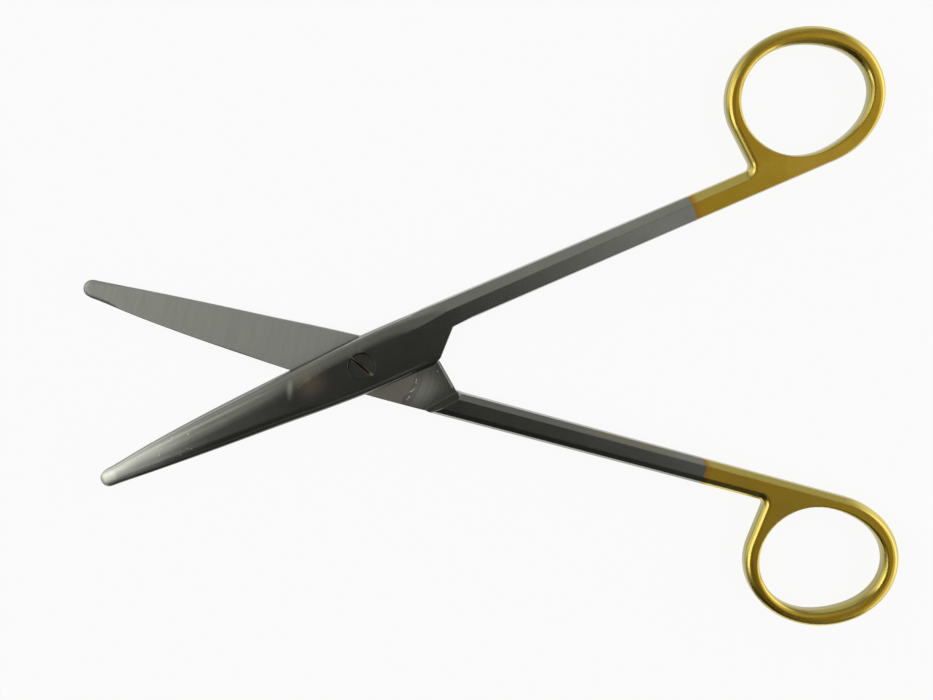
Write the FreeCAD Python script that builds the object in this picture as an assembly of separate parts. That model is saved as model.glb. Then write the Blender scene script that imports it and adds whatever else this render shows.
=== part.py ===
import FreeCAD, Part
import math
import os
from FreeCAD import Vector

# Straight dissecting scissors with blunt bevelled blades, in millimetres.
# Two equal forgings cross at a lap joint and turn on a countersunk slotted screw.
# Each half is drawn in its own frame: the pivot is the origin, +X runs to the finger
# ring, the cutting edge and the ring lie on +Y, and Z = 0 is the plane where the two
# halves meet. The outer face looks along +Z and the lapped face along -Z. A half turned
# over about its X axis gives the other one. In the finished part the rear half's outer
# face lies on Z = 0 and +X halves the angle between the two shanks.

# Joint, where the halves lap
half_thickness = 2.5        # one half at the joint, from the meeting plane to its outer face
lap_gap = 0.04              # running gap between the two lap faces
opening = 39.0              # angle between the halves in the rest pose, degrees
joint_cut = 5.36            # from the pivot out to the joint's cutting side
joint_spine = 5.45          # from the pivot out to its spine side
joint_crown = 0.015         # stock ground off to make the joint's outer face flat
joint_swell = 0.1           # how far the joint's cutting side bows out behind the pivot

# Blade, from the pivot to the blunt tip
blade_reach = 55.1
nose_radius = 1.66
nose_offset = -0.6          # the tip's centre line, towards the spine
tip_thickness = 0.6
facet_lean = 0.12           # the cutting facet leans in by this much

# Heel and shoulder: the slanted end of the lap and the wall that it closes against
heel_reach = 19.2           # where the heel's line crosses the long axis
heel_angle = 45.0
blunt_reach = 14.6          # where the heel turns into the blunted corner at the spine
blunt_angle = 25.0
blunt_radius = 2.0
throat_radius = 0.4         # between the heel and the shank's inner side
heel_break = 0.4            # chamfer along the heel on the lap face
shoulder_gap = 0.28
shoulder_draft = 22.0       # lean of the shoulder's wall, degrees

# Shank, a bevelled bar
shank_inner = 0.08          # inner side, kept off the other shank when closed
shank_start_side = 5.3      # outer side just behind the joint
shank_end_side = 4.95       # outer side at the web
shank_end_thickness = 2.05  # from the meeting plane to either face at the web
web_lead = 5.7              # the web starts this far before the ring's near end
upper_fade = 4.0            # length in which the break on the outer face's inner side fades in
bevel_depth = 1.15
joint_bevel = 1.95          # bevel widths: outer face, outer side, just behind the joint
outer_bevel = 1.5           # the same at the web
inner_break = 0.35          # outer face, inner side
lapped_bevel = 1.5          # lapped face, outer side, in two flats
lapped_edge = 0.45          # the steeper of the two, next to the outer side
lapped_edge_share = 0.45    # and its share of the bevel's depth
lapped_inner_bevel = 1.05   # lapped face, inner side

# Finger ring
ring_middle = 99.5          # centre of the ring's oval outline along X
ring_tilt = -12.0           # the oval's long axis against X, degrees
hole_long = 12.66           # half length of the finger hole
hole_short = 10.54          # half width of the finger hole
hole_back = 0.4             # the hole's centre lies nearer the pivot than the ring's
hole_drop = 0.13            # and nearer the inner side
hole_corner = 0.29          # the hole is an oval drawn out this far into a blunt corner
hole_corner_heading = 235.0  # direction of that corner from the hole's centre, degrees
limb_ends = 3.15            # width of the ring at the oval's ends
limb_sides = 2.95           # width of the ring at the oval's sides
limb_round = 1.5            # width of the limb's rounding towards the outside
hole_round_far = 1.4        # rounding of the hole's rim at the far side
hole_round_web = 0.35       # the same beside the web
hole_round_heading = 45.0   # direction of the far side from the hole's centre, degrees
limb_lean = 0.09            # sideways run of the limb above the notch, per unit of length
notch_radius = 1.1

# Pivot screw
head_radius = 2.68
head_rim = 0.25             # straight rim above the cone
neck_radius = 1.6
thread_radius = 1.5
running_gap = 0.03          # round the neck and under the head
end_break = 0.15
slot_width = 0.6
slot_depth = 0.85
saw_radius = 6.0            # the slot's floor keeps the round of the saw
slot_angle = -43.0          # in the rest pose, against +X, degrees

# Worked out from the above
lap_face = lap_gap / 2
lap_end = heel_reach + throat_radius / 2
web_start = ring_middle - hole_long - limb_ends - web_lead
round_steps = (0.0, lapped_edge_share, 0.75, 0.93, 1.0)
rim_points = 24             # points that the hole's rim is drawn through
section_run = 2.5           # most length between two sections of the blade
z_axis = Vector(0, 0, 1)


def bar_thickness(x):
    """height of the shank's faces over the meeting plane at x"""
    share = (x - blunt_reach) / (web_start - blunt_reach)
    return half_thickness + share * (shank_end_thickness - half_thickness)


def bar_side(x):
    """outer side of the shank at x"""
    share = (x - lap_end) / (web_start - lap_end)
    return shank_start_side + share * (shank_end_side - shank_start_side)


def bar_bevel(x):
    """width of the bevel on the shank's outer face at x"""
    share = (x - lap_end) / (web_start - lap_end)
    return joint_bevel + share * (outer_bevel - joint_bevel)


def line(a, b):
    return Part.LineSegment(a, b).toShape()


def arc(points):
    return Part.Arc(*points).toShape()


def polygon(points):
    return Part.makePolygon(points + [points[0]])


def slope(a, b, corner, roundness):
    """edge from a to b that bulges towards the corner"""
    middle = (a + b) * 0.5
    curve = Part.BezierCurve()
    curve.setPoles([a, middle + (corner - middle) * roundness, b])
    return curve.toShape()


def rounded_corner(before, corner, after, radius):
    """start, middle and end of the arc that rounds a corner"""
    u = (before - corner).normalize()
    v = (after - corner).normalize()
    half_turn = u.getAngle(v) / 2
    reach = radius / math.tan(half_turn)
    bisector = (u + v).normalize()
    centre = corner + bisector * (radius / math.sin(half_turn))
    return corner + u * reach, centre - bisector * radius, corner + v * reach


# Blade and lap

def blade_section(row):
    """one closed section of the blade or lap, square to X"""
    x, cut, facet, spine, height, cut_width, cut_edge, cut_round, spine_width, spine_edge, spine_round = row
    points = [
        Vector(x, cut, lap_face),
        Vector(x, facet, cut_edge),
        Vector(x, cut - cut_width, height),
        Vector(x, spine_width - spine, height),
        Vector(x, -spine, spine_edge),
        Vector(x, -spine, lap_face),
    ]
    return Part.Wire([
        line(points[0], points[1]),
        slope(points[1], points[2], Vector(x, facet, height), cut_round),
        line(points[2], points[3]),
        slope(points[3], points[4], Vector(x, -spine, height), spine_round),
        line(points[4], points[5]),
        line(points[5], points[0]),
    ])


def blade_rows():
    """sizes of the sections from the tip back to the joint"""
    # reach, cutting side, spine side and height, as shares of those at the joint, then the
    # slope on each side: its width, the height of its foot and how round it is
    shapes = [
        (0.944, 0.234, 0.437, 0.45, (0.30, 0.11, 1.0), (0.24, 0.14, 1.0)),
        (0.800, 0.430, 0.545, 0.60, (0.52, 0.14, 1.0), (0.29, 0.24, 1.0)),
        (0.580, 0.641, 0.688, 0.78, (0.71, 0.16, 1.0), (0.35, 0.32, 1.0)),
        (0.327, 0.812, 0.826, 0.97, (0.74, 0.24, 1.0), (0.37, 0.38, 1.0)),
        (0.181, 0.896, 0.921, 1.02, (0.71, 0.34, 1.0), (0.35, 0.42, 1.0)),
        (0.000, 1.000, 1.000, 1.02, (0.65, 0.42, 1.0), (0.32, 0.46, 0.9)),
    ]
    tip = (1.000, 0.196, 0.413, tip_thickness / half_thickness, (0.24, 0.08, 1.0), (0.20, 0.08, 1.0))
    rows = []
    for reach, cut, spine, height, cut_slope, spine_slope in [tip] + shapes:
        width = joint_cut * cut
        rows.append((
            -blade_reach * reach, width, width - facet_lean, joint_spine * spine,
            min(half_thickness * height, half_thickness + joint_crown),
            joint_cut * cut_slope[0], half_thickness * cut_slope[1], cut_slope[2],
            joint_spine * spine_slope[0], half_thickness * spine_slope[1], spine_slope[2],
        ))
    return rows


def lap_rows():
    """the two sections behind the pivot, where the slopes turn into the shank's bevels"""
    end = bar_thickness(lap_end)
    side = shank_start_side
    spine = joint_spine + joint_swell / 2
    middle = (joint_cut + side) / 2 + joint_swell
    return [
        (lap_end / 2, middle, middle, spine, half_thickness + joint_crown,
         0.58 * joint_cut, 0.46 * half_thickness, 0.85, 0.275 * joint_spine, 0.5 * half_thickness, 0.6),
        (lap_end, side, side, spine, end,
         joint_bevel, end - bevel_depth, 0.0, 0.255 * joint_spine, 0.52 * half_thickness, 0.3),
    ]


def close_rows(rows):
    """the same run with more rows, on a smooth curve through each size"""
    slopes = []
    for place in range(len(rows)):
        before = rows[max(place - 1, 0)]
        after = rows[min(place + 1, len(rows) - 1)]
        slopes.append([(b - a) / (after[0] - before[0]) for a, b in zip(before, after)])
    result = [rows[0]]
    for place in range(1, len(rows)):
        low = rows[place - 1]
        high = rows[place]
        run = high[0] - low[0]
        parts = math.ceil(run / section_run)
        for part in range(1, parts + 1):
            t = part / parts
            lift = (3 - 2 * t) * t * t
            leave = t * (1 - t) ** 2 * run
            arrive = t * t * (t - 1) * run
            result.append([
                a + (b - a) * lift + u * leave + v * arrive
                for a, b, u, v in zip(low, high, slopes[place - 1], slopes[place])
            ])
    return result


def blade():
    """blade with its rounded nose, and the lap, ground flat before the heel is cut"""
    rows = close_rows(blade_rows() + lap_rows())
    body = Part.makeLoft([blade_section(row) for row in rows], True, True)
    width = 4 * joint_spine
    length = blade_reach + 2 * heel_reach
    corner = Vector(-blade_reach, -width / 2, half_thickness)
    ground = Part.makeBox(length, width, half_thickness, corner)
    body = body.cut(ground)
    reach = 3 * nose_radius
    centre = Vector(nose_radius - blade_reach, nose_offset, 0)
    block = Part.makeBox(reach, 2 * reach, half_thickness)
    block.translate(centre - Vector(reach, reach, 0))
    nose = Part.makeCylinder(nose_radius, half_thickness, centre)
    return body.cut(block.cut(nose))


def heel_cutter():
    """clears the lap behind the heel, down to the shank's inner side"""
    slant = math.tan(math.radians(heel_angle))
    blunt = math.tan(math.radians(blunt_angle))
    corner = Vector(blunt_reach, (blunt_reach - heel_reach) * slant, 0)
    start = corner - Vector(1, blunt, 0) * (2 * blunt_radius)
    meeting = Vector(heel_reach + shank_inner / slant, shank_inner, 0)
    far = Vector(lap_end + half_thickness, shank_inner, 0)
    below = start.y - 2 * half_thickness
    outer = rounded_corner(start, corner, meeting, blunt_radius)
    throat = rounded_corner(corner, meeting, far, throat_radius)
    edges = [
        line(start, outer[0]),
        arc(outer),
        line(outer[2], throat[0]),
        arc(throat),
        line(throat[2], far),
        line(far, Vector(far.x, below, 0)),
        line(Vector(far.x, below, 0), Vector(start.x, below, 0)),
        line(Vector(start.x, below, 0), start),
    ]
    return Part.Face(Part.Wire(edges)).extrude(z_axis * (2 * half_thickness))


def heel_chamfer():
    """clears the heel's edge on the lap face, short of the throat"""
    heel = math.radians(heel_angle)
    along = Vector(math.cos(heel), math.sin(heel), 0)
    out = Vector(along.y, -along.x, 0)
    end = Vector(heel_reach, 0, lap_face) - along * (2 * throat_radius)
    length = heel_reach - blunt_reach + 2 * blunt_radius
    face = polygon([
        end - out * heel_break,
        end + out * heel_break,
        end + out * heel_break + z_axis * (2 * heel_break),
    ])
    return Part.Face(face).extrude(along * -length)


# Shank

def upper_section(x, inner_edge):
    """shank between the meeting plane and the outer face"""
    top = bar_thickness(x)
    side = bar_side(x)
    return polygon([
        Vector(x, shank_inner, lap_face),
        Vector(x, shank_inner, top - bevel_depth),
        Vector(x, shank_inner + inner_edge, top),
        Vector(x, side - bar_bevel(x), top),
        Vector(x, side, top - bevel_depth),
        Vector(x, side, lap_face),
    ])


def lower_section(x):
    """shank between the meeting plane and the lapped face"""
    depth = bar_thickness(x)
    side = bar_side(x)
    return polygon([
        Vector(x, shank_inner, lap_face),
        Vector(x, shank_inner, bevel_depth - depth),
        Vector(x, shank_inner + lapped_inner_bevel, -depth),
        Vector(x, side - lapped_bevel, -depth),
        Vector(x, side - lapped_edge, bevel_depth * (1 - lapped_edge_share) - depth),
        Vector(x, side, bevel_depth - depth),
        Vector(x, side, lap_face),
    ])


def shoulder_cutter():
    """clears the lapped side in front of the drafted shoulder wall"""
    heel = math.radians(heel_angle)
    normal = Vector(math.sin(heel), math.cos(heel), 0)
    along = Vector(normal.y, -normal.x, 0)
    foot = heel_reach * normal.x + shoulder_gap
    depth = 1.5 * half_thickness
    run = (depth + lap_face) * math.tan(math.radians(shoulder_draft))
    reach = 1.5 * heel_reach
    profile = [
        normal * (foot - reach) + z_axis * lap_face,
        normal * foot + z_axis * lap_face,
        normal * (foot + run) - z_axis * depth,
        normal * (foot - reach) - z_axis * depth,
    ]
    return Part.Face(polygon([p - along * reach for p in profile])).extrude(along * (2 * reach))


def shank():
    """bevelled bar from the shoulder to the web"""
    faded = lap_end + upper_fade
    front = blunt_reach / 2
    upper = Part.makeLoft([
        upper_section(lap_end, inner_break / 10),
        upper_section(faded, inner_break),
        upper_section(web_start, inner_break),
    ], True, True)
    lower = Part.makeLoft([lower_section(front), lower_section(web_start)], True, True)
    return upper, lower.cut(shoulder_cutter())


# Finger ring

def oval(long_half, short_half, centre, z):
    """ellipse with the ring's tilt"""
    tilt = math.radians(ring_tilt)
    u = Vector(math.cos(tilt), math.sin(tilt), 0)
    v = Vector(-math.sin(tilt), math.cos(tilt), 0)
    c = Vector(centre.x, centre.y, z)
    return Part.Ellipse(c + u * long_half, c + v * short_half, c)


def oval_drop(long_half, short_half):
    """distance from an oval's centre down to its lowest point"""
    tilt = math.radians(ring_tilt)
    return math.hypot(long_half * math.sin(tilt), short_half * math.cos(tilt))


def oval_parameter(long_half, short_half, direction):
    """where an oval, run anticlockwise, heads along the direction"""
    heading = math.atan2(direction.y, direction.x) - math.radians(ring_tilt)
    return math.atan2(-math.cos(heading) / long_half, math.sin(heading) / short_half)


def ring_centre():
    """the ring's outside touches the line of the shank's inner side"""
    drop = oval_drop(hole_long + limb_ends, hole_short + limb_sides)
    return Vector(ring_middle, shank_inner + drop, 0)


def ring_outline(z, inner_inset, outer_inset, limb_inset):
    """outline of web and ring at height z, moved inwards by the insets"""
    long_half = hole_long + limb_ends - limb_inset
    short_half = hole_short + limb_sides - (limb_inset + inner_inset) / 2
    inner = shank_inner + inner_inset
    side = bar_side(web_start) - outer_inset
    centre = Vector(ring_middle, inner + oval_drop(long_half, short_half), 0)
    curve = oval(long_half, short_half, centre, z)
    down = Vector(limb_lean, -1, 0).normalize()
    first = oval_parameter(long_half, short_half, Vector(1, 0, 0))
    last = oval_parameter(long_half, short_half, down)
    if last < first:
        last += 2 * math.pi
    split = (first + last) / 2
    left = curve.value(last)
    corner = left + down * ((left.y - side) / -down.y)
    start_outer = Vector(web_start, side, z)
    start_inner = Vector(web_start, inner, z)
    notch = rounded_corner(left, corner, start_outer, notch_radius + outer_inset)
    return Part.Wire([
        line(start_inner, curve.value(first)),
        curve.toShape(first, split),
        curve.toShape(split, last),
        line(left, notch[0]),
        arc(notch),
        line(notch[2], start_outer),
        line(start_outer, start_inner),
    ])


def rounding(share):
    """inward share of a quarter round at a share of its height"""
    return 1 - math.sqrt(1 - share * share)


def even_bevel(share):
    """inward run of the outer face's bevel at a share of its depth"""
    return outer_bevel * share


def broken_bevel(share):
    """the same on the lapped face, whose bevel has two flats"""
    if share < lapped_edge_share:
        return lapped_edge * share / lapped_edge_share
    rest = (share - lapped_edge_share) / (1 - lapped_edge_share)
    return lapped_edge + (lapped_bevel - lapped_edge) * rest


def ring_cap(side, inner_width, outer_run):
    """bevelled layer of web and ring between the upright wall and one face"""
    wall = shank_end_thickness - bevel_depth
    layers = []
    for share in round_steps:
        z = side * (wall + bevel_depth * share)
        limb_inset = limb_round * rounding(share)
        layers.append(ring_outline(z, inner_width * share, outer_run(share), limb_inset))
    return Part.makeLoft(layers, True, True)


def hole_rim(z, share):
    """the finger hole's rim at a share of the rounding's height"""
    tilt = math.radians(ring_tilt)
    corner = math.radians(hole_corner_heading)
    far = math.radians(hole_round_heading)
    grow = (hole_round_far + hole_round_web) / 2 * rounding(share)
    shift = (hole_round_far - hole_round_web) / 2 * rounding(share)
    centre = ring_centre() - Vector(hole_back, hole_drop, -z)
    centre += Vector(math.cos(far), math.sin(far), 0) * shift
    points = []
    for step in range(rim_points):
        angle = 2 * math.pi * step / rim_points
        u = math.cos(angle - tilt) / hole_long
        v = math.sin(angle - tilt) / hole_short
        radius = 1 / math.hypot(u, v) + hole_corner * math.cos(3 * (angle - corner)) + grow
        points.append(centre + Vector(math.cos(angle), math.sin(angle), 0) * radius)
    curve = Part.BSplineCurve()
    curve.interpolate(points, PeriodicFlag=True)
    return Part.Wire([curve.toShape()])


def hole_cutter():
    """finger hole with its rim rounded wide at the far side and narrow beside the web"""
    wall = shank_end_thickness - bevel_depth
    over = half_thickness - shank_end_thickness
    upper = [hole_rim(wall + bevel_depth * s, s) for s in round_steps]
    upper.append(hole_rim(shank_end_thickness + over, 1.0))
    lower = [hole_rim(-wall - bevel_depth * s, s) for s in round_steps]
    lower.append(hole_rim(-shank_end_thickness - over, 1.0))
    return Part.makeLoft(list(reversed(lower)) + upper, True, True)


def ring():
    """web and finger ring"""
    wall = shank_end_thickness - bevel_depth
    middle = Part.Face(ring_outline(-wall, 0, 0, 0)).extrude(z_axis * (2 * wall))
    upper = ring_cap(1, inner_break, even_bevel)
    lower = ring_cap(-1, lapped_inner_bevel, broken_bevel)
    return middle.fuse([upper, lower]).cut(hole_cutter())


def half():
    """one forging, before its pivot hole is drilled"""
    upper, lower = shank()
    lap = blade().cut(heel_cutter()).cut(heel_chamfer())
    return lap.fuse([upper, lower, ring()]).removeSplitter()


# Pivot

def turned(profile):
    """solid of revolution about the pivot from points of radius and height"""
    face = Part.Face(polygon([Vector(r, 0, z) for r, z in profile]))
    return face.revolve(Vector(0, 0, 0), z_axis, 360)


def front_bore():
    """countersunk clearance hole in the front half"""
    rim = half_thickness - head_rim - running_gap * (math.sqrt(2) - 1)
    head = head_radius + running_gap
    neck = neck_radius + running_gap
    return turned([
        (0, 2 * half_thickness),
        (head, 2 * half_thickness),
        (head, rim),
        (neck, rim - (head - neck)),
        (neck, -half_thickness),
        (0, -half_thickness),
    ])


def rear_bore():
    """threaded hole in the rear half, drawn at the thread's outer size"""
    return Part.makeCylinder(thread_radius, 4 * half_thickness, z_axis * (-2 * half_thickness))


def pivot_screw():
    """countersunk screw, head flush with the front half and end flush with the rear one"""
    rim = half_thickness - head_rim
    body = turned([
        (0, half_thickness),
        (head_radius, half_thickness),
        (head_radius, rim),
        (neck_radius, rim - (head_radius - neck_radius)),
        (neck_radius, -lap_face),
        (thread_radius, -lap_face),
        (thread_radius, end_break - half_thickness),
        (thread_radius - end_break, -half_thickness),
        (0, -half_thickness),
    ])
    saw = Part.makeCylinder(saw_radius, slot_width, Vector(0, -slot_width / 2, 0), Vector(0, 1, 0))
    saw.translate(z_axis * (half_thickness - slot_depth + saw_radius))
    saw.rotate(Vector(0, 0, 0), z_axis, slot_angle)
    return body.cut(saw)


# Finished pieces in the rest pose

def placed(shape, angle):
    """turned about the pivot and lifted onto the ground plane"""
    result = shape.copy()
    result.rotate(Vector(0, 0, 0), z_axis, angle)
    result.translate(z_axis * half_thickness)
    return result


def turned_over(shape):
    result = shape.copy()
    result.rotate(Vector(0, 0, 0), Vector(1, 0, 0), 180)
    return result


forging = half()
pieces = {
    "front_half": placed(forging.cut(front_bore()), opening / 2),
    "rear_half": placed(turned_over(forging).cut(rear_bore()), -opening / 2),
    "pivot_screw": placed(pivot_screw(), 0),
}

os.makedirs("parts", exist_ok=True)
for name, shape in pieces.items():
    solid = shape.Solids[0]
    print(name, len(shape.Solids), "solid, valid", shape.isValid(), "volume", round(shape.Volume, 2))
    solid.exportStep("parts/" + name + ".step")
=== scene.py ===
import math
import bpy
from mathutils import Matrix, Vector

# Straight dissecting scissors: satin steel halves with gold plated finger rings.
# Sizes are in metres. Each half has its own frame, the one that its material works in: the
# pivot is the origin, +X runs down the shank to the ring, +Y is the cutting side, and Z = 0
# is the plane where the two halves meet, with the outer face above it.

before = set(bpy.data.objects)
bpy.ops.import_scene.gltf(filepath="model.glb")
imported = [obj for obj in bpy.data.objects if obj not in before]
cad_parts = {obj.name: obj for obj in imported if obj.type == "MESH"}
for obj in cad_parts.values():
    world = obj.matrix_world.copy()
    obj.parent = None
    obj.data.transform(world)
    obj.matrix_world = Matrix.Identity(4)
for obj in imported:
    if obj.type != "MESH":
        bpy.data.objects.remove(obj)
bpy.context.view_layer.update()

mm = 0.001
pivot = Vector((0, 0, 0.0025))
restTurn = math.radians(19.5)   # each half is turned this far out of the middle line


# node helpers

def addNode(tree, kind, inputs=None, **settings):
    node = tree.nodes.new("ShaderNode" + kind)
    for name, value in settings.items():
        setattr(node, name, value)
    for name, value in (inputs or {}).items():
        if isinstance(value, bpy.types.NodeSocket):
            tree.links.new(value, node.inputs[name])
        else:
            node.inputs[name].default_value = value
    return node


def calc(tree, operation, a, b=0.0):
    return addNode(tree, "Math", {0: a, 1: b}, operation=operation).outputs[0]


# total, with a share of value added to it
def plus(tree, total, value, share):
    return calc(tree, "ADD", total, calc(tree, "MULTIPLY", value, share))


# smooth step from start to end while the value goes from low to high
def ramp(tree, value, low, high, start=0.0, end=1.0):
    inputs = {"Value": value, "From Min": low, "From Max": high, "To Min": start, "To Max": end}
    return addNode(tree, "MapRange", inputs, interpolation_type="SMOOTHSTEP").outputs[0]


# the two steps of a band, for both(): it is full in the middle and gone outside
def band(tree, value, low, fullLow, fullHigh, high):
    return ramp(tree, value, low, fullLow), ramp(tree, value, high, fullHigh)


def both(tree, *shares):
    total = shares[0]
    for share in shares[1:]:
        total = calc(tree, "MULTIPLY", total, share)
    return total


def blend(tree, share, a, b):
    node = addNode(tree, "Mix", {0: share, 6: a, 7: b}, data_type="RGBA")
    return node.outputs[2]


def mix(tree, share, a, b):
    return addNode(tree, "Mix", {0: share, 2: a, 3: b}, data_type="FLOAT").outputs[0]


def noise(tree, vector, scale, detail=3.0, roughness=0.55):
    inputs = {"Vector": vector, "Scale": scale, "Detail": detail, "Roughness": roughness}
    return addNode(tree, "TexNoise", inputs).outputs["Fac"]


# an offset that wanders over the surface, by half of width to each side
def wander(tree, place, cells, width, detail=3.0):
    centred = calc(tree, "SUBTRACT", noise(tree, place, cells, detail), 0.5)
    return calc(tree, "MULTIPLY", centred, width)


# noise drawn out into lines: cells per metre along each axis, after a turn about Z
def grainLines(tree, place, cells, turn=0.0):
    inputs = {"Vector": place, "Rotation": (0, 0, turn), "Scale": cells}
    turned = addNode(tree, "Mapping", inputs).outputs[0]
    return noise(tree, turned, 1.0, 2.0)


# distance from the axis of the pivot
def fromAxis(tree, place):
    flat = addNode(tree, "VectorMath", {0: place, 1: (1, 1, 0)}, operation="MULTIPLY").outputs[0]
    return addNode(tree, "VectorMath", {0: flat}, operation="LENGTH").outputs["Value"]


# 1 inside an oval mark on the half, fading to 0 round it; places in mm and degrees
def mark(tree, place, x, y, heading, length, width, soft, ragged=0.0):
    inputs = {
        "Vector": place,
        "Location": (x * mm, y * mm, 0),
        "Rotation": (0, 0, math.radians(heading)),
        "Scale": (length * mm, width * mm, 1.0),
    }
    within = addNode(tree, "Mapping", inputs, vector_type="TEXTURE").outputs[0]
    reach = addNode(tree, "VectorMath", {0: within}, operation="LENGTH").outputs["Value"]
    if ragged:
        reach = calc(tree, "ADD", reach, wander(tree, place, 1100.0, ragged, 4.0))
    return ramp(tree, reach, 1.0 + soft, 1.0 - soft)


def anyMark(tree, place, marks, soft, ragged):
    total = None
    for entry in marks:
        share = mark(tree, place, *entry, soft, ragged)
        total = share if total is None else calc(tree, "MAXIMUM", total, share)
    return total


def rgba(colour):
    return (*colour, 1.0)


def newMaterial(name):
    material = bpy.data.materials.new(name)
    material.use_nodes = True
    material.node_tree.nodes.clear()
    return material


def surfaceOut(tree, shader, kind="OutputMaterial"):
    output = addNode(tree, kind)
    tree.links.new(shader, output.inputs["Surface"])


# camera, at the photograph's place

photo = {
    "lens": 65.85,
    "place": (-0.926, 47.251, 331.395),     # mm
    "right": (0.99537, -0.06167, 0.07367),
    "up": (0.07109, 0.98857, -0.13296),
    "back": (-0.06463, 0.13758, 0.98838),
}


def makeCamera():
    data = bpy.data.cameras.new("camera")
    data.lens = photo["lens"]
    data.sensor_width = 36.0
    data.clip_start = 0.01
    camera = bpy.data.objects.new("camera", data)
    bpy.context.scene.collection.objects.link(camera)
    turn = Matrix((photo["right"], photo["up"], photo["back"])).transposed()
    camera.matrix_world = Matrix.Translation(Vector(photo["place"]) * mm) @ turn.to_4x4()
    bpy.context.scene.camera = camera


# studio: a pale floor and soft light all round, with a dark gap that runs from over the
# scissors, where the camera stands, down to the near horizon

studio = {
    "base": (0.20, 0.205, 0.195),
    "low": (0.255, 0.26, 0.25),     # at the horizon
    "lowEnd": 0.7,                  # sine of the height at which the base is reached
    "floor": (0.92, 0.92, 0.92),
    "floorReach": 8.0,              # metres each way, to lie under low views too
    "floorDrop": 0.02 * mm,         # below the scissors
    "glow": 0.92,                   # share of white paper that the eye and the metal see
}

# heading in degrees from +X to +Y, height over the floor, full within, gone beyond, light
softBoxes = [
    (154, 23, 11, 38, (0.61, 0.61, 0.58)),
    (158, 54, 5, 16, (1.43, 1.43, 1.36)),
    (209, 60, 6, 21, (2.20, 2.20, 2.10)),
    (359, 17, 15, 50, (1.33, 1.33, 1.31)),
    (4, 71, 5, 17, (0.34, 0.34, 0.33)),
    (294, 33, 10, 32, (1.33, 1.33, 1.29)),
    (87, 23, 9, 31, (0.23, 0.23, 0.22)),
]

# the gap's three edges: a point of the edge as x and y over height, the heading at which it
# meets the horizon, and how soft it is
darkGap = {
    "left": (-0.254, -0.070, 220.5, 0.134),
    "right": (0.132, -0.061, 303.3, 0.015),
    "top": (0.0, 0.287, 5.4, 0.09),
    "level": 0.096,                 # of the light that is left inside
}


def direction(heading, height):
    a, e = math.radians(heading), math.radians(height)
    return Vector((math.cos(a) * math.cos(e), math.sin(a) * math.cos(e), math.sin(e)))


# how far the ray runs along a direction
def alongRay(tree, ray, towards):
    inputs = {0: ray, 1: towards}
    return addNode(tree, "VectorMath", inputs, operation="DOT_PRODUCT").outputs["Value"]


# 1 within the inner angle of a direction, 0 beyond the outer one
def spot(tree, ray, heading, height, inner, outer):
    along = alongRay(tree, ray, direction(heading, height))
    return ramp(tree, along, math.cos(math.radians(outer)), math.cos(math.radians(inner)))


# 1 on the gap's side of one of its edges
def beyond(tree, ray, x, y, heading, soft, side):
    normal = Vector((x, y, 1)).cross(direction(heading, 0)).normalized() * side
    return ramp(tree, alongRay(tree, ray, normal), -soft, soft)


def makeWorld():
    world = bpy.data.worlds.new("studio")
    bpy.context.scene.world = world
    world.use_nodes = True
    tree = world.node_tree
    tree.nodes.clear()
    ray = addNode(tree, "TexCoord").outputs["Generated"]
    height = addNode(tree, "SeparateXYZ", {0: ray}).outputs["Z"]
    rise = ramp(tree, height, 0.0, studio["lowEnd"])
    light = blend(tree, rise, rgba(studio["low"]), rgba(studio["base"]))
    for heading, up, inner, outer, colour in softBoxes:
        share = spot(tree, ray, heading, up, inner, outer)
        added = addNode(tree, "VectorMath", {0: colour, 3: share}, operation="SCALE").outputs[0]
        light = addNode(tree, "VectorMath", {0: light, 1: added}, operation="ADD").outputs[0]
    inGap = both(
        tree,
        beyond(tree, ray, *darkGap["left"], 1),
        beyond(tree, ray, *darkGap["right"], -1),
        beyond(tree, ray, *darkGap["top"], -1),
    )
    kept = ramp(tree, inGap, 0.0, 1.0, 1.0, darkGap["level"])
    light = addNode(tree, "VectorMath", {0: light, 3: kept}, operation="SCALE").outputs[0]
    background = addNode(tree, "Background", {"Color": light, "Strength": 1.0})
    surfaceOut(tree, background.outputs[0], "OutputWorld")


def makeFloor():
    size = studio["floorReach"]
    corners = [(-size, -size, 0), (size, -size, 0), (size, size, 0), (-size, size, 0)]
    mesh = bpy.data.meshes.new("floor")
    mesh.from_pydata(corners, [], [(0, 1, 2, 3)])
    floor = bpy.data.objects.new("floor", mesh)
    bpy.context.scene.collection.objects.link(floor)
    floor.location.z = -studio["floorDrop"]
    material = newMaterial("floorPaper")
    tree = material.node_tree
    paper = addNode(tree, "BsdfDiffuse", {"Color": rgba(studio["floor"])}).outputs[0]
    glow = addNode(tree, "Emission", {"Color": (1, 1, 1, 1), "Strength": 1.0}).outputs[0]
    ray = addNode(tree, "LightPath").outputs
    seen = calc(tree, "MAXIMUM", ray["Is Camera Ray"], ray["Is Glossy Ray"])
    seen = calc(tree, "MAXIMUM", seen, ray["Is Transmission Ray"])
    share = calc(tree, "MULTIPLY", seen, studio["glow"])
    surfaceOut(tree, addNode(tree, "MixShader", {0: share, 1: paper, 2: glow}).outputs[0])
    mesh.materials.append(material)


# finishes of the two halves; in the dictionaries a pair of places is where a change starts
# and where it is full, and four places are where a band is gone, full, full and gone

# position in the half's own frame; side is 1 for the front half and -1 for the rear one
def halfCoordinates(tree, side):
    inputs = {
        "Vector": addNode(tree, "TexCoord").outputs["Object"],
        "Location": (0, 0, -side * pivot.z),
        "Rotation": (0, 0, -restTurn),
        "Scale": (1, side, side),
    }
    return addNode(tree, "Mapping", inputs).outputs[0]


# the same turn for the direction that a point of the surface faces
def halfFacing(tree, side):
    facing = addNode(tree, "TexCoord").outputs["Normal"]
    inputs = {"Vector": facing, "Rotation": (0, 0, -restTurn), "Scale": (1, side, side)}
    return addNode(tree, "Mapping", inputs, vector_type="VECTOR").outputs[0]


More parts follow.
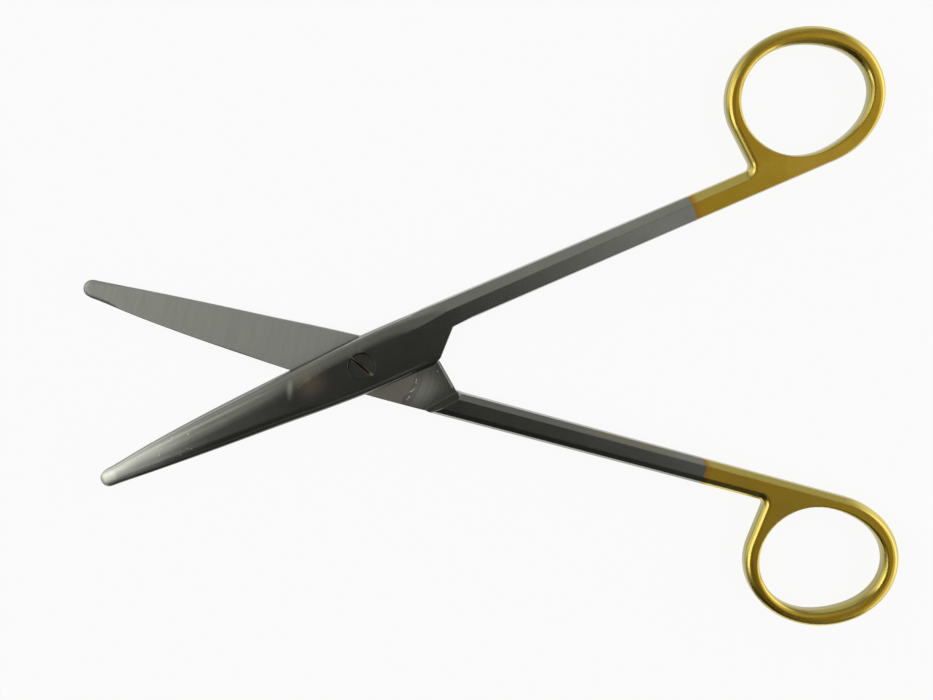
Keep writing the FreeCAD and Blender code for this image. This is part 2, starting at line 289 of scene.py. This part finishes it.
steel = {
    "light": (0.405, 0.413, 0.370),
    "dark": (0.362, 0.369, 0.331),
    "cloud": 90.0,                  # cells per metre of the patches
    "speckle": 2600.0,
    "speckleShare": 0.5,
    "contrast": (0.55, 0.95),
    "roughness": 0.195,
    "spread": 0.015,                # rougher in the dark patches, smoother in the light ones
    "polished": 0.12,               # roughness of the slopes, finer than the flats
    "polishedTilt": (0.97, 0.91),   # by how level the face is: 1 level, 0 upright
    "polishedSide": (0.6 * mm, -0.6 * mm),  # on the spine side only
    "spine": (0.135, 0.142, 0.122),     # painted shade on the slope on the spine side
    "spineFacing": (-0.22, -0.42),
    "spineTilt": (0.35, 0.50),
    "spineEnd": (23.0 * mm, 19.0 * mm),
    "heel": (0.105, 0.115, 0.098),      # painted shade on the chamfer across the heel
    "heelFacing": (0.25, 0.45),
    "heelTilt": (0.30, 0.45),
    "heelBand": (5.0 * mm, 7.0 * mm, 19.5 * mm, 21.0 * mm),
    "sides": (0.135, 0.140, 0.125),     # painted shade on upright sides
    "sidesTilt": (0.52, 0.28),
}


# what the steps of a half's finish work from
def readHalf(tree, side):
    place = halfCoordinates(tree, side)
    x, y, z = addNode(tree, "SeparateXYZ", {0: place}).outputs
    faceX, faceY, faceZ = addNode(tree, "SeparateXYZ", {0: halfFacing(tree, side)}).outputs
    tone = noise(tree, place, steel["cloud"], 4.0)
    speckle = noise(tree, place, steel["speckle"], 3.0, 0.7)
    clouds = plus(tree, tone, speckle, steel["speckleShare"])
    return {
        "side": side, "place": place, "x": x, "y": y, "z": z,
        "faceX": faceX, "faceY": faceY, "faceZ": faceZ,
        "level": calc(tree, "ABSOLUTE", faceZ),     # 1 on level faces, 0 on upright sides
        "fromPivot": fromAxis(tree, place),
        "tone": tone,
        "patch": ramp(tree, clouds, *steel["contrast"]),
        "onLap": both(tree, *band(tree, z, *groundFace["layer"])),
    }


# painted light on the blades: a highlight towards the tips, and on the front blade a brown
# reflection and a highlight streak
wear = {
    "tip": (0.74, 0.75, 0.69),
    "tipRoughness": 0.33,
    "tipStart": (-30.0 * mm, -53.0 * mm),
    "tint": (0.50, 0.385, 0.28),    # painted brown reflection, before the joint
    "tintMark": (-10.4, 0.7, 10, 2.6, 2.0, 0.9),    # as the nicks, with how soft it is
    "tintShare": 0.75,
    "streak": (0.86, 0.87, 0.74),   # painted highlight, across the blade
    "streakMark": (-14.5, 1.2, 62, 1.5, 0.55, 0.9),
    "streakShare": 0.55,
    "roughness": 0.27,              # of the painted reflection and the painted highlight streak
}


# 1 on the outer face, 0 down at the lap
def onOuterFace(tree, half):
    return ramp(tree, half["z"], 0.5 * mm, 0.9 * mm)


# satin steel, with a painted highlight towards the tip, and on the front blade a painted brown
# reflection and a painted highlight streak
def satinSteel(tree, half):
    place, patch = half["place"], half["patch"]
    colour = blend(tree, patch, rgba(steel["dark"]), rgba(steel["light"]))
    rough = mix(tree, patch, steel["roughness"] + steel["spread"],
                steel["roughness"] - steel["spread"])
    # painted highlight towards the tip
    tip = ramp(tree, half["x"], *wear["tipStart"])
    colour = blend(tree, tip, colour, rgba(wear["tip"]))
    rough = mix(tree, tip, rough, wear["tipRoughness"])
    if half["side"] > 0:
        onTop = onOuterFace(tree, half)
        # painted brown reflection on the front blade's outer face
        tint = both(tree, onTop, mark(tree, place, *wear["tintMark"]))
        share = calc(tree, "MULTIPLY", tint, wear["tintShare"])
        colour = blend(tree, share, colour, rgba(wear["tint"]))
        # painted highlight streak across the blade
        streak = both(tree, onTop, mark(tree, place, *wear["streakMark"]))
        share = calc(tree, "MULTIPLY", streak, wear["streakShare"])
        colour = blend(tree, share, colour, rgba(wear["streak"]))
        rough = mix(tree, calc(tree, "MAXIMUM", tint, streak), rough, wear["roughness"])
    return colour, rough


# painted shade on the spine slope, the heel chamfer and the upright sides, and slopes polished
# finer than the flats
def darkSlopes(tree, half, colour, rough):
    x, level = half["x"], half["level"]
    spine = both(
        tree,
        ramp(tree, half["faceY"], *steel["spineFacing"]),
        ramp(tree, half["faceZ"], *steel["spineTilt"]),
        ramp(tree, x, *steel["spineEnd"]),
    )
    colour = blend(tree, spine, colour, rgba(steel["spine"]))
    # painted shade on the heel chamfer
    heel = both(
        tree,
        ramp(tree, half["faceX"], *steel["heelFacing"]),
        ramp(tree, level, *steel["heelTilt"]),
        *band(tree, x, *steel["heelBand"]),
    )
    colour = blend(tree, heel, colour, rgba(steel["heel"]))
    # painted shade on the upright sides
    colour = blend(tree, ramp(tree, level, *steel["sidesTilt"]), colour, rgba(steel["sides"]))
    polished = both(tree, ramp(tree, level, *steel["polishedTilt"]),
                    ramp(tree, half["y"], *steel["polishedSide"]))
    rough = mix(tree, polished, rough, steel["polished"])
    return colour, rough


groundFace = {                      # lap faces, ground across the blade
    "light": (0.572, 0.572, 0.528),
    "dark": (0.522, 0.526, 0.488),
    "rubbed": (0.33, 0.300, 0.268),     # on the shank side, where the other half slides
    "rubbedStart": (0.0, 5.0 * mm),
    "roughness": 0.44,
    "layer": (-0.14 * mm, -0.06 * mm, 0.06 * mm, 0.14 * mm),
    "fineLines": ((4200.0, 160.0, 400.0), math.radians(6)),     # cells per metre, turn
    "fineShare": 0.55,
    "wideLines": ((900.0, 90.0, 300.0), math.radians(-4)),
    "wideShare": 0.45,
    "contrast": (0.36, 0.64),
    "end": 10.6 * mm,               # of the full grind, away from the pivot
    "endSoft": (0.5 * mm, -0.3 * mm),
    "endWander": 2.2 * mm,
    "endCells": 420.0,
    "endSide": (-1.0 * mm, 3.0 * mm),   # the blade is ground all along
    "shoulder": (19.4 * mm, 18.8 * mm),     # where the lap ends
    "arcs": 2400.0,                 # cells per metre away from the pivot
    "arcWander": 1.5,
    "bright": (13.6, 1.4, 122, 3.3, 2.2, 0.95),     # patch before the shoulder
    "brightShare": 0.50,
    "brightArcs": (0.30, 0.60, 0.72, 1.0),  # noise from and to, share from and to
    "faintArcs": (0.32, 0.68, 0.10, 0.24),
    "rubbedInBright": 0.35,
    "fade": (15.5 * mm, 11.0 * mm),     # ground more again towards the full grind
    "fadeShare": 0.30,
}


# the lap face is ground across the blade; round the joint it is rubbed in arcs, and bright
# only in a patch before the shoulder
def groundLap(tree, half, colour, rough):
    place, x, fromPivot = half["place"], half["x"], half["fromPivot"]
    fineLines = grainLines(tree, place, *groundFace["fineLines"])
    wideLines = grainLines(tree, place, *groundFace["wideLines"])
    lines = calc(tree, "MULTIPLY", fineLines, groundFace["fineShare"])
    lines = plus(tree, lines, wideLines, groundFace["wideShare"])
    lines = ramp(tree, lines, *groundFace["contrast"])
    groundColour = blend(tree, lines, rgba(groundFace["dark"]), rgba(groundFace["light"]))

    swirl = calc(tree, "MULTIPLY", fromPivot, groundFace["arcs"])
    swirl = plus(tree, swirl, half["tone"], groundFace["arcWander"])
    arcs = noise(tree, addNode(tree, "CombineXYZ", {0: swirl}).outputs[0], 1.0, 3.0)
    fromEnd = both(tree, fromPivot, ramp(tree, x, *groundFace["endSide"]))
    drift = wander(tree, place, groundFace["endCells"], groundFace["endWander"])
    fromEnd = calc(tree, "ADD", fromEnd, drift)
    fullGrind = ramp(tree, fromEnd, *[groundFace["end"] + soft for soft in groundFace["endSoft"]])

    bright = both(tree, mark(tree, place, *groundFace["bright"]),
                  ramp(tree, arcs, *groundFace["brightArcs"]))
    partGrind = calc(tree, "MULTIPLY", bright, groundFace["brightShare"])
    partGrind = calc(tree, "ADD", partGrind, ramp(tree, arcs, *groundFace["faintArcs"]))
    fade = ramp(tree, x, *groundFace["fade"], 0.0, groundFace["fadeShare"])
    partGrind = calc(tree, "ADD", partGrind, fade)

    ground = both(tree, half["onLap"], calc(tree, "MAXIMUM", fullGrind, partGrind),
                  ramp(tree, x, *groundFace["shoulder"]))
    rubbed = both(tree, ramp(tree, x, *groundFace["rubbedStart"]),
                  ramp(tree, bright, 0.0, 1.0, 1.0, groundFace["rubbedInBright"]))
    groundColour = blend(tree, rubbed, groundColour, rgba(groundFace["rubbed"]))
    colour = blend(tree, ground, colour, groundColour)
    rough = mix(tree, ground, rough, groundFace["roughness"])
    return colour, rough, both(tree, half["onLap"], fullGrind, fineLines)


gold = {
    "light": (0.76, 0.49, 0.06),
    "dark": (0.66, 0.41, 0.035),
    # painted sheen: the slopes paler and yellower than the flats
    "slopes": (0.74, 0.60, 0.155),
    "slopesTilt": (0.985, 0.88),
    # painted shade: the upright rims darker
    "rims": (0.37, 0.32, 0.105),
    "rimsTilt": (0.62, 0.30),
    "warm": (0.62, 0.30, 0.05),     # thin plating at its start
    "warmLength": 1.6 * mm,
    "roughness": 0.32,
    "spread": 0.04,
    "polished": 0.20,               # roughness of the slopes
    "start": 71.1 * mm,
    "startSoft": 0.12 * mm,
    "startWander": 0.9 * mm,
    "startCells": 500.0,
    "innerSide": (1.6 * mm, 0.2 * mm),  # towards the other shank it starts earlier
    "frontLead": 0.2 * mm,
    "rearLead": 0.9 * mm,
}


# gold on the ring and the end of the shank, warm where it starts, with a painted sheen on the
# slopes and painted shade on the upright rims
def goldPlating(tree, half, colour, rough):
    patch, level = half["patch"], half["level"]
    lead = gold["frontLead"] if half["side"] > 0 else gold["rearLead"]
    inward = calc(tree, "MULTIPLY", ramp(tree, half["y"], *gold["innerSide"]), lead)
    wobble = wander(tree, half["place"], gold["startCells"], gold["startWander"])
    reach = calc(tree, "ADD", calc(tree, "ADD", half["x"], wobble), inward)
    start, soft = gold["start"], gold["startSoft"]
    plated = ramp(tree, reach, start - soft, start + soft)
    full = ramp(tree, reach, start, start + gold["warmLength"])
    sloping = ramp(tree, level, *gold["slopesTilt"])
    goldColour = blend(tree, patch, rgba(gold["dark"]), rgba(gold["light"]))
    goldColour = blend(tree, sloping, goldColour, rgba(gold["slopes"]))
    goldColour = blend(tree, ramp(tree, level, *gold["rimsTilt"]), goldColour, rgba(gold["rims"]))
    goldColour = blend(tree, full, rgba(gold["warm"]), goldColour)
    goldRough = mix(tree, patch, gold["roughness"] + gold["spread"],
                    gold["roughness"] - gold["spread"])
    goldRough = mix(tree, sloping, goldRough, gold["polished"])
    colour = blend(tree, plated, colour, goldColour)
    return colour, mix(tree, plated, rough, goldRough), both(tree, plated, sloping)


# x, y, heading, half length, half width in mm and degrees
nicks = [                           # on the front blade's outer face
    (-42.65, -0.19, 60, 0.30, 0.05),
    (-39.55, 1.35, -30, 0.28, 0.05),
    (-39.20, 1.70, 55, 0.30, 0.05),
    (-39.00, 1.95, -30, 0.16, 0.04),
    (-35.89, 1.32, -38, 0.22, 0.05),
    (-35.60, 1.45, 55, 0.10, 0.04),
    (-34.08, 1.94, 70, 0.09, 0.05),
    (-40.03, -0.70, 20, 0.09, 0.05),
    (-38.89, -1.85, 75, 0.13, 0.05),
    (-37.12, -1.22, 10, 0.09, 0.05),
    (-36.49, -1.59, -20, 0.08, 0.05),
    (-41.77, 0.84, 0, 0.08, 0.04),
]
scuffs = [                          # on the rear half's lap
    (11.10, 0.20, 78, 0.42, 0.08),
    (11.20, 0.62, 20, 0.22, 0.07),
    (11.05, 2.00, 118, 0.40, 0.09),
    (10.75, 2.45, 140, 0.35, 0.10),
    (10.60, 3.70, 100, 0.38, 0.13),
    (10.35, 4.20, 30, 0.25, 0.09),
    (14.60, -2.70, 60, 0.14, 0.08),
]
bareMetal = {                       # laid open in the nicks and scuffs
    "colour": (0.80, 0.82, 0.76),
    "share": 0.85,
    "roughness": 0.45,
    "nickEdge": (0.4, 0.0),         # how soft, how ragged
    "scuffEdge": (0.5, 1.0),
}


# clean nicks in the front blade's outer face, ragged scuffs on the rear half's lap
def nicksAndScuffs(tree, half):
    if half["side"] > 0:
        marks = anyMark(tree, half["place"], nicks, *bareMetal["nickEdge"])
        return both(tree, onOuterFace(tree, half), marks)
    marks = anyMark(tree, half["place"], scuffs, *bareMetal["scuffEdge"])
    return both(tree, half["onLap"], marks)


edges = {                           # shaded rounding
    "outer": 0.22 * mm,
    "crown": 0.60 * mm,             # in the middle of the blade's outer face
    "crownAcross": (-3.0 * mm, -2.2 * mm, 3.6 * mm, 4.4 * mm),
    "crownAlong": (-30.0 * mm, -22.0 * mm, 11.0 * mm, 13.0 * mm),
    "nose": 1.1 * mm,               # where the nose meets the blade
    "noseStart": (-47.0 * mm, -50.0 * mm),
    "bore": 0.03 * mm,              # round the screw, and on it
    "boreEnd": (2.75 * mm, 3.5 * mm),
    "samples": 6,
}


# wide on the crown of the outer face and at the nose, hardly any round the screw
def edgeRounding(tree, half):
    x = half["x"]
    crown = both(tree, *band(tree, half["y"], *edges["crownAcross"]),
                 *band(tree, x, *edges["crownAlong"]))
    radius = mix(tree, crown, edges["outer"], edges["crown"])
    radius = mix(tree, ramp(tree, x, *edges["noseStart"]), radius, edges["nose"])
    return mix(tree, ramp(tree, half["fromPivot"], *edges["boreEnd"]), edges["bore"], radius)


relief = {
    "grain": 5200.0,                # cells per metre
    "polish": (300.0, 6000.0, 3000.0),
    "polishDepth": 0.8,             # depths against the grain's own
    "groundDepth": 3.0,
    "markDepth": 4.0,
    "strength": 0.12,
    "platedStrength": 0.035,        # on the slopes of the plating
    "distance": 0.03 * mm,
}


# polished metal, with its relief and its rounded edges
def metalOut(tree, colour, rough, height, radius, strength):
    rounded = addNode(tree, "Bevel", {"Radius": radius}, samples=edges["samples"]).outputs[0]
    bump = addNode(tree, "Bump", {
        "Height": height, "Normal": rounded, "Strength": strength, "Distance": relief["distance"]})
    surface = addNode(tree, "BsdfPrincipled", {
        "Base Color": colour, "Metallic": 1.0, "Roughness": rough, "Normal": bump.outputs[0]})
    surfaceOut(tree, surface.outputs[0])


def makeHalfFinish(name, side):
    material = newMaterial(name)
    tree = material.node_tree
    half = readHalf(tree, side)
    colour, rough = satinSteel(tree, half)
    colour, rough = darkSlopes(tree, half, colour, rough)
    colour, rough, groundLines = groundLap(tree, half, colour, rough)
    colour, rough, smoothGold = goldPlating(tree, half, colour, rough)

    # satin grain, polishing lines along the piece, ground lines and wear
    worn = nicksAndScuffs(tree, half)
    height = noise(tree, half["place"], relief["grain"], 2.0)
    polish = grainLines(tree, half["place"], relief["polish"])
    height = plus(tree, height, polish, relief["polishDepth"])
    height = plus(tree, height, groundLines, relief["groundDepth"])
    height = plus(tree, height, worn, relief["markDepth"])
    share = calc(tree, "MULTIPLY", worn, bareMetal["share"])
    colour = blend(tree, share, colour, rgba(bareMetal["colour"]))
    rough = mix(tree, worn, rough, bareMetal["roughness"])
    strength = mix(tree, smoothGold, relief["strength"], relief["platedStrength"])
    metalOut(tree, colour, rough, height, edgeRounding(tree, half), strength)
    return material


# pivot screw: turned head, dark slot

screw = {
    "light": (0.40, 0.405, 0.36),
    "dark": (0.33, 0.335, 0.295),
    "cloud": 500.0,                 # cells per metre of the patches
    "turned": 5200.0,               # cells per metre from the middle outwards
    "ringShare": 0.5,
    "contrast": (0.55, 0.95),
    "head": 2.68 * mm,              # radius
    "seam": (0.020, 0.018, 0.016),
    "seamRing": (-0.27 * mm, -0.15 * mm),   # this and the rims: from the head's radius
    "seamSide": (0.70, 0.72),       # left and up, where painted shade makes the seam darkest
    "seamDark": (-0.6 * mm, 1.6 * mm, 0.45, 1.0),   # start, end and the shares there
    "slotTurn": math.radians(43),
    "slotBand": (4.0 * mm, 4.1 * mm, 4.90 * mm, 4.96 * mm),     # heights
    "slotRim": (-0.02 * mm, -0.08 * mm),
    # painted shade in the slot, and painted edge light at its lip
    "slot": (0.022, 0.012, 0.010),
    "slotWall": (0.17, 0.095, 0.07),
    "slotWallStart": (0.0, 0.12 * mm),
    "slotLip": (0.17, 0.18, 0.085),
    "farLip": (2.0 * mm, 2.6 * mm),
    "farWander": 0.6 * mm,
    "nearLip": (-1.6 * mm, -2.0 * mm),
    "lipBand": (-0.37 * mm, -0.31 * mm, -0.28 * mm, -0.22 * mm),
    "lipRim": (-0.1 * mm, -0.4 * mm),
    "lipShare": 0.8,
    "roughness": 0.21,
    "slotRoughness": 0.5,
}


# a step at the rim of the head
def rim(tree, radius, start, full):
    return ramp(tree, radius, screw["head"] + start, screw["head"] + full)


def makeScrewFinish():
    material = newMaterial("screwFinish")
    tree = material.node_tree
    place = addNode(tree, "TexCoord").outputs["Object"]
    x, y, z = addNode(tree, "SeparateXYZ", {0: place}).outputs
    radius = fromAxis(tree, place)
    turning = calc(tree, "MULTIPLY", radius, screw["turned"])
    rings = noise(tree, addNode(tree, "CombineXYZ", {0: turning}).outputs[0], 1.0, 2.0)
    tone = noise(tree, place, screw["cloud"], 3.0)
    patch = ramp(tree, plus(tree, tone, rings, screw["ringShare"]), *screw["contrast"])
    colour = blend(tree, patch, rgba(screw["dark"]), rgba(screw["light"]))

    # dark seam round the head, with painted shade that makes it darkest at its upper left
    left, up = screw["seamSide"]
    toRight = calc(tree, "MULTIPLY", x, left)
    upperLeft = calc(tree, "SUBTRACT", calc(tree, "MULTIPLY", y, up), toRight)
    seam = both(tree, rim(tree, radius, *screw["seamRing"]),
                ramp(tree, upperLeft, *screw["seamDark"]))
    colour = blend(tree, seam, colour, rgba(screw["seam"]))

    # slot: painted shade, black on the floor and dark brown on the wall, and a painted edge light
    # along one side and at both ends
    inputs = {"Vector": place, "Rotation": (0, 0, screw["slotTurn"])}
    turned = addNode(tree, "Mapping", inputs).outputs[0]
    along, across = addNode(tree, "SeparateXYZ", {0: turned}).outputs[:2]
    inSlot = both(tree, *band(tree, z, *screw["slotBand"]),
                  rim(tree, radius, *screw["slotRim"]))
    wall = ramp(tree, across, *screw["slotWallStart"])
    slotColour = blend(tree, wall, rgba(screw["slot"]), rgba(screw["slotWall"]))
    farEnd = ramp(tree, plus(tree, along, tone, screw["farWander"]), *screw["farLip"])
    nearEnd = both(tree, wall, ramp(tree, along, *screw["nearLip"]))
    ends = calc(tree, "MAXIMUM", farEnd, nearEnd)
    slotColour = blend(tree, ends, slotColour, rgba(screw["slotLip"]))
    colour = blend(tree, inSlot, colour, slotColour)
    lip = both(tree, *band(tree, across, *screw["lipBand"]),
               rim(tree, radius, *screw["lipRim"]))
    lipShare = calc(tree, "MULTIPLY", lip, screw["lipShare"])
    colour = blend(tree, lipShare, colour, rgba(screw["slotLip"]))
    dull = calc(tree, "MAXIMUM", inSlot, lip)
    rough = mix(tree, dull, screw["roughness"], screw["slotRoughness"])

    grain = plus(tree, noise(tree, place, relief["grain"], 2.0), rings, relief["polishDepth"])
    metalOut(tree, colour, rough, grain, edges["bore"], relief["strength"])
    return material


def dress(node, material):
    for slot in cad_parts[node].material_slots:
        slot.link = "OBJECT"
        slot.material = material


makeCamera()
makeWorld()
makeFloor()
print("studio ready")

dress("front_half", makeHalfFinish("frontFinish", 1))
dress("rear_half", makeHalfFinish("rearFinish", -1))
dress("pivot_screw", makeScrewFinish())
print("finishes on")

bpy.context.scene.view_settings.view_transform = "Standard"
